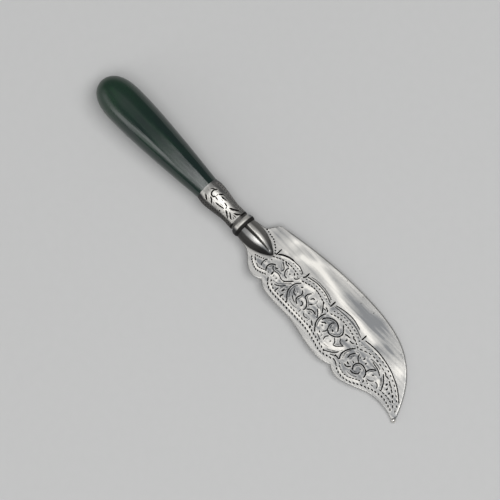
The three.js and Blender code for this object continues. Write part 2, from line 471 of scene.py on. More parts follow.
handle = {
    "length": station("ferrule", 0),
    "radius": 7.65,
    "fatAt": 15.0,
    "taperEase": 12.0,
    "fullness": 3.0,  # power of the rounded butt
    "mouth": 4.7,
    "spigot": (63.45, 3.75),  # end of the reduced part inside the ferrule, and its radius
    "bore": (33.45, 2.6),  # bottom of the tang's hole, and its radius
    "buttRows": 40,
    "taperRows": 48,
    "segments": 144,
    "sharp": 30.0,  # degrees from which an edge is shown as one
}


def stoneProfile():
    x = handle["fatAt"] * np.linspace(0, 1, handle["buttRows"]) ** 2
    radius = handle["radius"] * np.sqrt(1 - (1 - x / handle["fatAt"]) ** handle["fullness"])
    fat = (handle["fatAt"], handle["radius"])
    eased = (handle["fatAt"] + handle["taperEase"], handle["radius"])
    taper = bezier([fat, eased, (handle["length"], handle["mouth"])], handle["taperRows"])[1:]
    end, spigot = handle["spigot"]
    bottom, bore = handle["bore"]
    inside = [(handle["length"], spigot), (end, spigot), (end, bore), (bottom, bore), (bottom, 0)]
    return np.concatenate([np.stack([x, radius], 1), taper, inside])


points, faces = turned(stoneProfile(), handle["segments"])
makePiece("handle_stone", points, faces, stoneFinish, "stone_handle", handle["sharp"])

# Ferrule: a thin waisted tube, engraved all round

ferrule = {
    "start": station("ferrule", 0),
    "length": station("ferrule", 1) - station("ferrule", 0),
    "wall": 0.5,
    "stations": ((0.0, 4.75), (2.6, 5.1), (13.1, 3.95), (16.7, 4.05)),  # from the mouth, radius
    "chart": 4.6,  # radius at which the engraving is laid out flat
    "repeats": 3,
    "lean": 0.16,  # slant at which the strokes below were drawn
    "swell": 1.4,
    "nib": {"step": 0.2, "taper": 1.1, "point": 0.75},
    "overrun": 0.15,
    "veinSlope": 0.6,
    "cutEnd": 16.2,  # no cut runs past this
    "columns": 96,
    "rows": 44,
    "clear": 0.08,  # from a cut's skirt to the plain mesh points
    "litBand": 0.25,  # how far the band of painted highlight is turned from the crest
    "litFacing": (0.76, 0.92),  # how squarely a place faces front or back to get the painted highlight
    "bandHighlight": 0.5,
    "sootAndShade": (0.22, 0.155),  # painted shade on the flank towards the back, and towards the edge
    "endDarkening": (0.7, 0.4, 0.2),  # darker by the end plate: begins and is full this far before it, how black
    "hazeAndShade": 0.66,
    "sharp": 24.0,
}
ferruleStrokes = [
    (0.36, 56.3, 0.9, 56.9, 1.35, 57.4, 2), (0.3, 56.5, 3.25), (0.3, 55.9, 2.5), (0.3, 62.9, 2.6),
    (0.44, 58.4, 2.5, 57.75, 1.7, 57.6, 0.8, 57.8, 0, 58.5, -0.5, 59.3, -0.4, 59.7, 0.3),
    (0.5, 59.9, 1.5, 60.5, 2, 61.3, 2.8), (0.46, 61.1, 1.75, 62.4, 1.8, 63.8, 1.95),
    (0.36, 59.7, 0.1, 61.2, -0.15), (0.48, 61.3, -1.35, 63, -1.25, 65.2, -0.75),
    (0.46, 63.6, 0.95, 64.4, 0.8, 65.4, 0.6), (0.62, 64.6, -2.45), (0.3, 59.8, 1.3, 59.8, 0.6),
    (0.55, 56.5, -1.5, 57.4, -2.3, 58.8, -3.1), (0.48, 58.4, -1.1, 59.3, -1.5, 60, -2.1, 60.7, -2.8),
    (0.64, 66.2, 0.65, 67.3, 1.25, 68.4, 1.8, 69.6, 2.65), (0.58, 68.8, 0.5, 69.9, 1.1, 71, 2.1),
    (0.55, 65.9, -0.55, 67.1, -1.3, 68, -1.9, 68.8, -2.4),
    (0.5, 67.4, -0.15, 68.4, -0.7, 69.2, -1.4, 70.1, -1.6), (0.3, 65.3, 0.5, 65.6, -0.4),
    (0.34, 69.3, 0.05, 70.6, 0.1), (0.34, 69.7, -0.6, 70.6, -0.8),
]
ferruleVeins = [
    (0.2, 66.9, 0.45, 68.6, 1.35), (0.2, 66.6, -0.35, 68, -1.2), (0.2, 69.4, 0.45, 70.8, 1.1),
    (0.24, 62.2, -1.9, 63.2, -2.9), (0.2, 57.5, -1.5, 59.6, -2.9), (0.2, 56.1, -2.2, 57.3, -3.1),
    (0.2, 61.7, 0.9, 63, 0.95), (0.2, 58.3, 1.9, 59.2, 1.9), (0.2, 62.6, -0.6, 64.4, -0.3),
    (0.2, 55.9, 0.3, 56.9, -0.3), (0.24, 67.7, 2.6, 68.6, 3.1), (0.24, 61.4, 2.4, 62.1, 3.2),
    (0.24, 64.6, 1.9, 65.6, 2.7), (0.24, 65.6, -1.5, 66.3, -2.5), (0.2, 60.6, -1.7, 61.6, -2.8),
]
ferruleRows = [
    (1.15, 0.75, 0.4, 0, 57, 4.1, 63, 3.9, 70.4, 3.4), (1.2, 0.7, 0.4, 0, 59, -3.9, 64, -3.5, 70, -3),
    (0.75, 0.7, 0.22, 0.8, 61.8, 2.8, 66, 2.7, 70.6, 2.75),
    (0.75, 0.7, 0.22, -0.8, 60.9, -3.1, 65, -2.9, 70.6, -2.6),
]


def ferruleRadius(x):
    at = np.asarray(x, float) - ferrule["start"]
    radius = np.full(at.shape, ferrule["stations"][0][1])
    for (x0, r0), (x1, r1) in zip(ferrule["stations"][:-1], ferrule["stations"][1:]):
        radius = np.where(at >= x0, r0 + (r1 - r0) * ease(at, x0, x1), radius)
    return radius


def layOnFerrule(numbers, middle):  # from the view they were drawn in to the unrolled tube
    drawn = np.reshape(numbers, (-1, 2))
    radius = ferruleRadius(drawn[:, 0])
    angle = np.arcsin(np.clip(drawn[:, 1] / radius, -1, 1)) - ferrule["lean"]
    x = drawn[:, 0] + ferrule["lean"] * radius * np.cos(angle)
    x = np.minimum(x, ferrule["start"] + ferrule["cutEnd"])
    return np.stack([x, (angle + middle) * ferrule["chart"]], 1).ravel()


def ferruleCuts():
    cuts = []
    bold = {**ferrule["nib"], "overrun": ferrule["overrun"]}
    fine = {**ferrule["nib"], "slope": ferrule["veinSlope"]}
    for turn in range(ferrule["repeats"]):
        middle = (turn - (ferrule["repeats"] - 1) / 2) * 2 * math.pi / ferrule["repeats"]
        for rows, nib in ((ferruleStrokes, bold), (ferruleVeins, fine)):
            for width, *numbers in rows:
                cuts.append(stroke(width * ferrule["swell"], *layOnFerrule(numbers, middle), **nib))
        for gap, length, width, lean, *numbers in ferruleRows:
            cuts += dashRow(gap, length, width, lean, *layOnFerrule(numbers, middle))
    return cuts


def ferruleBore(first, near, far):  # faces of the bore, and of the ends between it and the outside
    columns = ferrule["columns"]
    last = first + ferrule["rows"] * columns
    faces = []
    for low in range(first, last, columns):
        high = low + columns
        for j in range(columns):
            k = (j + 1) % columns
            faces.append([low + j, high + j, high + k, low + k])
    for j in range(columns):
        k = (j + 1) % columns
        faces.append([near[j], first + j, first + k, near[k]])
        faces.append([far[j], far[k], last + k, last + j])
    return faces


def makeFerrule():
    cuts = ferruleCuts()
    rows, columns = ferrule["rows"], ferrule["columns"]
    reach = math.pi * ferrule["chart"]
    x = np.linspace(ferrule["start"], ferrule["start"] + ferrule["length"], rows + 1)
    s = np.linspace(-reach, reach, columns + 1)  # round the tube, laid flat
    border = [(x[0], v) for v in s[:-1]] + [(v, s[-1]) for v in x[:-1]]
    border += [(x[-1], v) for v in s[:0:-1]] + [(v, s[0]) for v in x[:0:-1]]
    inner = np.stack(np.meshgrid(x[1:-1], s[1:-1]), 2).reshape(-1, 2)
    inner = inner[cutDepth(inner, cuts)[2] > graver["skirt"] + ferrule["clear"]]
    flat, faces, rim = sheetPlan(border, [], inner, cuts)
    depth, ink, beside = cutDepth(flat, cuts)[:3]
    angle = flat[:, 1] / ferrule["chart"]
    radius = ferruleRadius(flat[:, 0]) - depth
    outside = np.stack([flat[:, 0], radius * np.sin(angle), radius * np.cos(angle)], 1)
    turns = s[:-1] / ferrule["chart"]
    bore = [(v, r * math.sin(t), r * math.cos(t))
            for v, r in zip(x, ferruleRadius(x) - ferrule["wall"]) for t in turns]
    far = rim[columns + rows:2 * columns + rows]
    faces += ferruleBore(len(outside), rim[:columns], [far[0]] + far[:0:-1])
    # Painted highlight on the band turned towards the light, painted shade on the flanks beside it
    litBand = ease(np.abs(np.cos(angle + ferrule["litBand"])), *ferrule["litFacing"])
    begin, full, black = ferrule["endDarkening"]
    byPlate = ease(flat[:, 0], x[-1] - begin, x[-1] - full) * black
    sootAndShade = (1 - litBand) * np.where(angle < 0, *ferrule["sootAndShade"]) + byPlate
    fringe = np.exp(-np.maximum(beside, 0) / graver["fringe"]) * (depth <= 0)
    clean = np.zeros(len(bore))
    painted = {
        "inkAndShade": np.concatenate([np.maximum(ink, sootAndShade), clean]),
        "hazeAndShade": np.full(len(outside) + len(bore), ferrule["hazeAndShade"]),
        "highlight": np.concatenate([np.maximum(fringe, litBand * ferrule["bandHighlight"]), clean]),
    }
    points = np.concatenate([outside, bore])
    makePiece("ferrule_engraved", points, faces, silverFinish, "ferrule", ferrule["sharp"], painted)


makeFerrule()

# Collar ring: a half-round bead

ring = {
    "start": station("collar_ring", 0),
    "width": station("collar_ring", 1) - station("collar_ring", 0),
    "radius": 4.75,
    "bead": 0.85,
    "hole": 1.75,
    "beadRows": 33,
    "segments": 128,
    "tongueSideShade": (-0.12, 0.4, 0.27),  # painted shade on the tongues' side: begins and is full this far past its middle, how black
    "flank": (0.55, 0.85),  # shares of the radius between which painted shade darkens its sides
    "flankShade": (0.22, 0.06),  # painted shade on the side towards the back, and towards the edge
    "hazeAndShade": 0.8,
    "sharp": 35.0,
}


def makeRing():
    turn = np.linspace(math.pi, 0, ring["beadRows"])
    x = ring["start"] + ring["width"] * (1 + np.cos(turn)) / 2
    radius = ring["radius"] - ring["bead"] * (1 - np.sin(turn))
    profile = [(ring["start"], ring["hole"]), *zip(x, radius), (ring["start"] + ring["width"], ring["hole"])]
    points, faces = turned(profile, ring["segments"], closed=True)
    x, y, z = np.transpose(points)
    # Painted shade on the tongues' side and on the flanks, painted highlight on the crest
    begin, full, black = ring["tongueSideShade"]
    tongueSideShade = black * ease(x - ring["start"] - ring["width"] / 2, begin, full)
    flank = ease(np.abs(y) / ring["radius"], *ring["flank"])
    painted = {
        "inkAndShade": np.maximum(tongueSideShade, flank * np.where(y < 0, *ring["flankShade"])),
        "hazeAndShade": np.full(len(x), ring["hazeAndShade"]),
        "highlight": 1 - flank,
    }
    makePiece("collar_bead", points, faces, silverFinish, "collar_ring", ring["sharp"], painted)


makeRing()

# Tongue bolsters: pointed half-rounds with a groove along the crest, one on each face of the blade

tongue = {
    "root": station("bolster_front", 0),
    "length": 14.75,
    "rootRadius": 4.2,
    "swellRadius": 4.45,
    "swellAt": 3.55,
    "pointPower": 2.0,
    "grooveHalf": 0.85,
    "grooveDepth": 0.8,
    "grooveLength": 12.3,
    "grooveNarrows": 0.6,  # share of its width lost by its end
    "widestGroove": 0.4,  # half of it, as a share of the radius
    "seat": 0.6,  # half of the blade's thickness
    "sink": 1.004,  # of the seat, where the point meets the face
    "tipTries": 400,
    "rows": 60,
    "crowding": 1.5,  # rows stand closer towards the point
    "columns": (22, 10),  # flank, half groove
    "sharp": 28.0,
}
tongueShadeAndDirt = {  # painted shade on the flanks and by the point, darker by depth in the groove: where it begins, where it is full, how black
    "groove": (0.06, 0.36, 0.22),  # by depth
    "backFlank": (0.8, 0.91, 0.24),  # by share of the height, and it ends there
    "edgeFlank": (0.86, 0.96, 0.2),
    "climb": (5.0, 11.5, 0.1),  # the back flank's painted shade climbs this much between these stations
    "point": (1.9, 0.6, 0.24),  # painted shade, mm before the point
}
tonguePaint = {
    "hazeAndShade": 0.4,
    "backShade": 0.2,  # painted shade, more on the back's side, and towards the point
    "tipShade": 0.25,
    "highlight": 0.1,
    "edgeHighlight": 0.5,  # painted highlight, more on the edge's side
    "tipHighlightLoss": 0.8,  # share of the painted highlight lost towards the point
    "tipward": (7.0, 11.0),
}


def tongueRadius(at):
    rise = np.sin(np.minimum(at / tongue["swellAt"], 1) * math.pi / 2)
    swell = tongue["rootRadius"] + (tongue["swellRadius"] - tongue["rootRadius"]) * rise
    share = np.maximum(at - tongue["swellAt"], 0) / (tongue["length"] - tongue["swellAt"])
    narrowed = tongue["swellRadius"] * (1 - share ** tongue["pointPower"])
    return np.where(at <= tongue["swellAt"], swell, narrowed)


def tongueDarkness(at, radius, y, z, sunk, tip):  # across one row: darker by depth in the groove, painted shade on the flanks and by the point
    low, high, black = tongueShadeAndDirt["climb"]
    climb = black * ease(at, low, high)
    low, high, black = tongueShadeAndDirt["backFlank"]
    backFlank = black * (1 - ease(z / radius, low + climb, high + climb))
    low, high, black = tongueShadeAndDirt["edgeFlank"]
    edgeFlank = black * (1 - ease(z / radius, low, high))
    low, high, black = tongueShadeAndDirt["groove"]
    sootAndShade = np.maximum(ease(sunk, low, high) * black, np.where(y < 0, backFlank, edgeFlank))
    low, high, black = tongueShadeAndDirt["point"]
    return np.maximum(sootAndShade, black * ease(at, tip - low, tip - high))


def makeTongue(name, node, side):
    reach = np.linspace(0, 1, tongue["tipTries"]) * tongue["length"]
    narrowing = reach[reach > tongue["swellAt"]]
    tip = np.interp(-tongue["seat"] * tongue["sink"], -tongueRadius(narrowing), narrowing)
    stations = tip * (1 - (1 - np.linspace(0, 1, tongue["rows"])) ** tongue["crowding"])
    flank, half = tongue["columns"]
    points = []
    inkAndShade = []
    for at, radius in zip(stations, tongueRadius(stations)):
        foot = math.asin(min(tongue["seat"] / radius, 1))
        gone = min(at / tongue["grooveLength"], 1)
        slot = tongue["grooveHalf"] * (1 - tongue["grooveNarrows"] * gone)
        lip = max(math.acos(min(slot, tongue["widestGroove"] * radius) / radius), foot)
        quarter = np.concatenate([np.linspace(foot, lip, flank), np.linspace(lip, math.pi / 2, half)[1:]])
        turn = np.concatenate([quarter, math.pi - quarter[-2::-1]])
        y, z = radius * np.cos(turn), radius * np.sin(turn)
        sunk = tongue["grooveDepth"] * math.sqrt(1 - gone ** 2) * np.maximum(0, 1 - np.abs(y) / slot)
        sunk = np.minimum(sunk, np.maximum(z - tongue["seat"], 0))
        points += [(tongue["root"] + at, v, side * (w - d)) for v, w, d in zip(y, z, sunk)]
        inkAndShade += tongueDarkness(at, radius, y, z, sunk, tip).tolist()
    wide = len(turn)
    faces = [[i * wide + j, i * wide + j + 1, (i + 1) * wide + j + 1, (i + 1) * wide + j]
             for i in range(tongue["rows"] - 1) for j in range(wide - 1)]
    faces += [[i * wide, (i + 1) * wide, (i + 2) * wide - 1, (i + 1) * wide - 1]
              for i in range(tongue["rows"] - 1)]
    faces.append(list(range(wide)))
    faces.append(list(range(len(points) - wide, len(points))))
    x, y, z = np.transpose(points)
    # Painted shade towards the back and the point, painted highlight on the edge's side
    backSide = (y < 0) * 1.0
    tipward = ease(x - tongue["root"], *tonguePaint["tipward"])
    highlight = tonguePaint["highlight"] + tonguePaint["edgeHighlight"] * (1 - backSide)
    painted = {
        "inkAndShade": inkAndShade,
        "hazeAndShade": tonguePaint["hazeAndShade"] + tonguePaint["backShade"] * backSide + tonguePaint["tipShade"] * tipward,
        "highlight": highlight * (1 - tonguePaint["tipHighlightLoss"] * tipward),
    }
    makePiece(name, points, faces, silverFinish, node, tongue["sharp"], painted)


makeTongue("tongue_front", "bolster_front", 1)
makeTongue("tongue_back", "bolster_back", -1)

# Blade: a thin sheet with a bevelled cutting edge, a scalloped back and bright-cut scrolls on one face

blade = {
    "root": station("blade", 0),
    "length": 88.15,
    "edgeRise": 13.95,
    "backDepth": 14.4,
    "half": 0.6,  # half of the thickness
    "land": 0.15,  # half of the thickness left at the cutting edge
    "bevel": 0.9,
    "bevelStart": 0.25,  # share of its width at the heel
    "bevelRunIn": 6.0,
    "bevelRound": 4.0,
    "rim": 0.28,  # rounded arris along the back
    "rimDrop": 0.13,
    "crown": 0.13,  # how much the plain strip thins towards its edge
    "crownReach": 9.0,
    "neck": (4.55, 5.07),
    "rootHalf": 4.2,
    "slot": (4.0, 1.75),
    "bead": 0.9,
    "beadAt": (1.0, 0.743),
    "beadRings": 16,
    "beadSides": 24,
    "curveStep": 0.6,
    "straightStep": 0.8,
    "neckParts": 24,
    "bevelLines": (0.1, 0.2, 0.32, 0.48, 0.7, 1),  # mesh lines, as shares of the bevel's width
    "tongueLines": (0.05, 0.4, 0.9),  # mesh lines beside the tongue, mm from it
    "tongueSpan": (0.2, 0.97, 24),  # shares of its length from and to which they run, points
    "fill": 0.8,  # from one plain mesh point to the next, engraved face and back
    "backFill": 1.92,
    "sharp": 14.0,
}
bladePaint = {
    "fieldHaze": 0.775,  # dullness of the engraved field, and of the plain silver
    "plainHaze": 0.43,
    "fieldEdge": (-0.2, 0.3),  # how the field fades in at its border, and at its start
    "fieldStart": (84.0, 86.0),
    "fieldHighlight": 0.5,  # strength of the painted highlights and painted shade in the field, and of its painted highlight lines
    "fieldShade": 0.7,
    "glint": 0.6,
    "glintStep": 0.5,
    "plainHighlightStep": 1.0,
    "curlShade": (0.26, 0.8),  # painted shade inside the long curls: strength, reach
    "fringe": (0.7, 0.3),  # painted highlights on the edges of the cuts, and how much more on one side than on the other
    "backShadowAndDirt": (0.2, 0.7),  # painted shadow and dirt by the tongue, on the back's side and on the edge's: how black, reach
    "edgeShadowAndDirt": (0.16, 0.25),
    "shadowAndDirtEnd": (-0.8, 0.4),  # from the tongue's point
}
heelCurve = ((0.07, 0.394), (0.08, 0.638), (0.094, 0.695))
edgeCurves = (
    ((0.183, 0.832), (0.365, 1.0), (0.523, 1.0)),
    ((0.74, 1.0), (0.906, 0.839), (1.003, -0.7)),
)
backStart = (0.994, 0.778)
backCurves = (
    ((0.944, 0.639), (0.864, 0.648), (0.828, 0.743)),
    ((0.74, 0.986), (0.688, 1.111), (0.651, 0.892)),
    ((0.569, 1.16), (0.444, 0.799), (0.376, 0.802)),
    ((0.274, 0.799), (0.227, 0.847), (0.198, 0.625)),
)
neckHandles = ((0.121, 0.917), (0.098, 0.403))

# Cuts of the engraving: width, then x, y of given points
scallops = [  # and the ticks between them
    (0.56, 90.6, 3.8, 90.6, 2.3, 90.6, 0.9), (0.62, 104, 4.9, 104, 3.4, 103.9, 2.8, 103.4, 2.2),
    (0.66, 118.1, 4.5, 118.1, 3.2, 118.1, 1.9), (0.58, 134.9, 3.9, 134.9, 2.7, 134.9, 1.5),
    (0.72, 91.1, 1.5, 91.7, 2.2, 93, 3, 95, 3.8, 97, 4.05), (0.4, 96.6, 4, 99, 4.1, 100.3, 4, 102.6, 3),
    (0.44, 104.7, 3.6, 106, 3.9, 108, 4.3, 110, 4.4, 112, 4.3, 114, 3.9, 117.1, 2.8),
    (0.42, 119.3, 3.6, 121, 4.1, 123, 4.5, 125, 4.75, 127, 4.75, 129, 4.4, 131.6, 3.7),
    (0.46, 136, 2.3, 138, 2.6, 140, 2.75, 142, 2.8, 146, 2.3, 150, 1.4, 154, -0.2, 156, -1.2, 158, -2.5,
     161, -4.9),
]
curls = [
    # first group, by the tongue
    (0.42, 94.2, 1, 95.5, 0.2, 96.4, -0.5, 96.6, -1.3, 96.2, -2), (0.36, 94.8, -2, 94.3, -2.45, 93.8, -2.2),
    (0.56, 93.4, -1.75, 92.5, -2.1, 91.7, -2.9, 91.4, -3.8, 91.5, -4.6, 92.2, -5.7),
    (0.42, 89.7, -2.4, 89.25, -3, 89.15, -3.9, 89.3, -4.9, 89.7, -5.6),
    (0.4, 93.1, -2.5, 93.2, -3.1, 93.9, -3.6, 94.8, -3.6, 95.5, -3.4, 96.3, -3.3, 97.3, -3.55, 98.1, -3.9,
     99, -3.95),
    (0.54, 99.1, -4, 100, -3.6, 101, -2.6, 101.8, -1.6, 102.2, -1.4), (0.48, 94.5, -4, 94.7, -5.4),
    (0.4, 96.95, -5.05), (0.34, 93.3, -5.5), (0.34, 90.8, -1.4), (0.42, 99.3, -0.4),
    (0.36, 95, 1.75, 95.6, 1.35, 96.3, 1.2, 96.9, 1.3),
    (0.44, 97.4, 1, 97.2, 0, 97.4, -0.9, 98, -1.8, 98.6, -2.2, 99.6, -2.3),
    (0.34, 100.1, 1.1, 100.6, 0.7, 100.9, 0.4), (0.4, 101.4, -0.3, 102, -0.25, 102.5, 0.3, 102.75, 1.1),
    (0.36, 102, 0.9), (0.42, 98.1, -7, 99, -6.7, 99.8, -6.1, 100.5, -5.5, 101.2, -4.3),
    (0.38, 100.1, -6.9, 99.9, -8.2), (0.42, 101.9, -5.6, 101.8, -7), (0.46, 103, -7.2, 102.6, -8.6),
    # second group
    (0.48, 104.6, 0.2, 103.8, -0.6, 103.1, -1.7, 102.9, -3, 103, -4.5, 103.5, -5.7, 104.3, -6.7,
     105.9, -8.3),
    (0.46, 105.6, -0.9, 106.2, -0.3),
    (0.46, 104.3, -2.7, 104.7, -3.5, 105.2, -4.1, 106, -4.3, 106.6, -4.15),
    (0.5, 106.8, -1.2, 107.5, -1.9, 107.75, -2.7, 107.5, -3.5, 107.3, -4.2, 107.4, -5, 107.9, -5.6,
     109, -6.2),
    (0.4, 105.6, -5.1, 106.3, -5.7, 107.2, -6.2, 108, -6.3),
    (0.46, 109.3, -4.3, 110, -4.3, 110.5, -4.7, 110.6, -5.3, 110.4, -5.9),
    (0.5, 110, 0.3, 109.4, -0.5, 109.1, -1.3, 109.2, -2.2, 109.7, -2.55, 110.5, -2.8, 111.3, -3.5,
     112, -4.3, 112.3, -5.1, 112.2, -6.1),
    (0.44, 111.3, -1.5, 111.4, -0.9, 111.8, -0.5, 112.4, -0.4), (0.4, 112.2, -3.1, 112.7, -2.6, 113, -2.1),
    (0.52, 112.8, -5, 113.5, -4.3, 114.3, -3.85, 115.3, -3.75, 116.5, -4.1), (0.42, 114.6, -5.5),
    (0.4, 113.1, -6.8, 113.7, -7.3, 114.6, -7.45, 115.5, -7.1),
    (0.5, 115.2, 1.2, 116.2, 0, 117.1, -1, 117.8, -2.1),
    (0.44, 115.5, -2.1, 116.5, -2.9, 117.3, -3.7, 117.7, -4.6),
    (0.44, 117.1, -6.6, 117.8, -7.2, 118.7, -7.7), (0.42, 117.2, 0.6, 118, 0.3, 118.6, 0, 118.8, -0.3),
    (0.36, 117, -0.3, 117.9, -0.3), (0.42, 118, -8.3, 118.7, -8.6),
    # third group
    (0.54, 118.9, -1.2, 118.4, -2.2, 118.2, -3.5, 118.3, -4.8, 118.6, -5.8, 119.2, -6.8, 120, -7.7,
     120.8, -8.6),
    (0.54, 119.4, -3.7, 119.7, -2.7, 120.5, -1.7, 121.5, -0.95, 122.7, -0.5, 123.8, -0.45, 124.8, -0.8,
     125.7, -1.4, 126.6, -2.7),
    (0.46, 123.5, -1.3, 122.9, -1.9, 122.75, -2.9, 123, -3.8, 123.4, -4.6, 123.4, -5.5, 122.7, -6.5),
    (0.5, 123.6, -4.6, 124.1, -5.1, 125, -5.4, 126.1, -5.2, 127.2, -4.7, 128.1, -3.9, 128.5, -3.2,
     128.6, -2.3, 128.3, -1.4, 127.6, -0.6, 126.3, 0.6),
    (0.46, 124.75, -3.4, 125.45, -4), (0.44, 120.2, -4.5, 120.6, -3.9, 121.2, -3.6, 121.7, -3.6),
    (0.4, 121, -5), (0.44, 125.5, -6.1, 124.9, -6.8, 124.8, -7.5, 125.1, -8.3), (0.4, 127.3, -7),
    (0.42, 127.5, -5.1, 128.2, -5.6, 128.8, -6.3, 128.9, -6.9),
    (0.42, 128.9, -7.2, 129.8, -7, 130.7, -6.2, 131.3, -5.5, 131.9, -5),
    (0.44, 127.6, -11, 128.6, -10.7, 129.6, -10.1, 130.5, -9.5, 131.5, -8.7, 132.3, -7.5),
    (0.5, 129.1, -1.4, 130, -1.1, 131.4, -1),
    (0.4, 129.4, -3.6, 129.6, -4.3, 130.2, -4.8, 131, -5, 131.9, -4.9), (0.4, 131.2, -2.1, 131.1, -3),
    (0.4, 132.1, -1.8, 133.3, -1.8, 133.9, -1.4), (0.36, 132, 0.3, 132.6, -0.3, 133.5, -0.2),
    (0.34, 121.8, -7, 122.3, -7.5), (0.42, 132, -9.15, 133.1, -9.2, 134, -9.4),
    (0.38, 122, -8.3, 123, -8.8, 124.3, -9.2),
    # fourth group, towards the tip
    (0.54, 135.6, -2.3, 134.7, -3.3, 133.9, -4.6, 133.5, -5.8, 133.35, -7, 133.6, -8, 134.3, -9.3),
    (0.5, 136.9, -3.4, 136.3, -4.3, 135.9, -5.2, 135.9, -5.9, 136.1, -6.7),
    (0.46, 138.2, -2.7, 138.4, -3.6, 139, -4.3, 139.8, -4.8, 140.2, -5), (0.42, 140.6, -2.1, 140.6, -3.1),
    (0.54, 140.5, -8.5, 139.8, -7.7, 139.6, -6.8, 139.8, -5.9, 140.4, -5.2, 141.2, -4.8, 142.2, -4.7,
     143.4, -5, 144.4, -5.6, 145.1, -6.5, 145.3, -7.7),
    (0.52, 142.9, -7.2, 142.9, -8, 142.5, -8.6, 141.8, -9, 141, -9.3, 140, -9.2),
    (0.4, 142.2, -3, 142.2, -3.8), (0.4, 142.3, -6.4), (0.44, 137.1, -7.6, 137.5, -8.05, 138.1, -7.9),
    (0.52, 139.2, -8, 138.7, -8.7, 138, -9.2, 136.8, -9.1), (0.32, 138.2, -6.2, 139, -6.4),
    (0.54, 146.7, -2.5, 145.9, -2.9, 145.1, -3.6, 144.6, -4.5, 144.5, -5.4),
    (0.42, 146.7, -4.8, 147.5, -4.35), (0.44, 146.4, -7.1, 147.6, -6.9, 148.3, -6.4, 148.8, -5.8),
    (0.44, 143.5, -1.2, 145, -1.5, 146.6, -1.8, 147.8, -2.3, 148.9, -3),
    (0.5, 149.4, -1.5, 150.5, -2.5, 151.6, -3.7, 152.4, -4.9, 153.1, -6.2), (0.4, 146.1, -8.2, 146.4, -9.1),
    (0.4, 149.5, -5.7, 150.5, -5.8, 151.2, -6.5, 151.4, -7), (0.4, 147, -7.7), (0.4, 147.8, -8.1),
    (0.4, 149.5, -7.4), (0.46, 153, -2.9, 153, -3.8), (0.42, 154.3, -4, 154.3, -5),
    (0.46, 156, -4.6, 156, -5.5), (0.36, 149.7, -0.7, 150.4, -1.3, 151.1, -1.5),
    (0.42, 157.3, -4.3, 157.9, -5), (0.4, 153.5, -2.2, 154.1, -2.8), (0.4, 155.4, -3.3, 156, -3.8),
    # plain ends of the two cusped borders
    (0.4, 94.6, -6.8, 95, -7.3, 95.6, -8), (0.42, 133.1, -10.7, 134.3, -11, 135.4, -11.8),
]
faintStrokes = [
    (0.5, 119, 3, 121, 3.3, 124, 3.6, 127, 3.65, 130, 3.2, 134.1, 1.9),
    (0.5, 105.4, 4.6, 107.5, 5, 110, 5.1, 112.5, 4.9, 115, 4.35, 116.6, 3.75),
    (0.42, 142, -1, 143.5, -0.7, 145.5, -0.8, 147.5, -1.4), (0.4, 105.6, -2.6, 106.3, -3.1),
    (0.4, 114, -1.25, 115, -1.35, 116, -1.5), (0.5, 111.4, -6.5, 111.5, -7.9), (0.4, 116.2, -6.4, 116, -8),
    (0.36, 101, -5.5, 100.6, -7), (0.34, 98.9, -5.9, 97.5, -6.1, 96.4, -6.5), (0.4, 95.3, -4.4, 95.8, -5.6),
    (0.36, 139.4, -10.3, 141.6, -10.2, 143.4, -9.2), (0.36, 123.4, -7.2, 123.6, -8.4),
    (0.36, 126.2, -9.3, 128.4, -9), (0.4, 130.6, 0.2, 130.7, 0.9), (0.4, 118, 2.2, 117.4, 2, 116.5, 2.1),
    (0.36, 109.4, 0.6, 110.4, 1.05), (0.34, 107.2, -7.4, 109.4, -7.5), (0.3, 152.2, -1.9, 151.9, -2.7),
    # veins between the bold cuts
    (0.32, 100.1, -6.5, 101.5, -4.8, 102.9, -2.9), (0.32, 101.9, -6.7, 102.5, -5.2, 103.1, -3.9),
    (0.36, 99.6, -4.5, 101.2, -3.6, 102.5, -2.3), (0.34, 101.7, -5, 102.5, -4.2),
    (0.36, 101.2, 3.65, 102.2, 3.4),
    (0.36, 104.4, -0.9, 103.7, -2.2, 103.6, -3.8, 104.2, -5.3, 105.3, -6.6),
    (0.34, 113.2, -2.1, 113.6, -0.9, 113.2, 0.2), (0.34, 136.3, -3.1, 137.6, -2.4),
    (0.36, 134.9, -3.7, 134.3, -5.2, 134.3, -6.8, 134.9, -8.2), (0.34, 132.8, -5.9, 131.8, -7.6, 130.4, -9),
    (0.34, 139, -2.8, 139.6, -3.6), (0.34, 149.6, -3.2, 151, -4.6),
    (0.34, 137.4, -4.2, 137, -5.4, 137.2, -6.6), (0.34, 106.6, -7.2, 108.4, -7.6, 110.2, -7.2),
    # knocks from use
    (0.6, 130.6, 11.6), (0.55, 124.8, 10.8), (0.6, 115.3, 12.9), (0.6, 123.6, 13), (0.5, 148.5, 8.2),
    (0.4, 149.8, 7.6), (0.4, 153.5, 5.3),
]
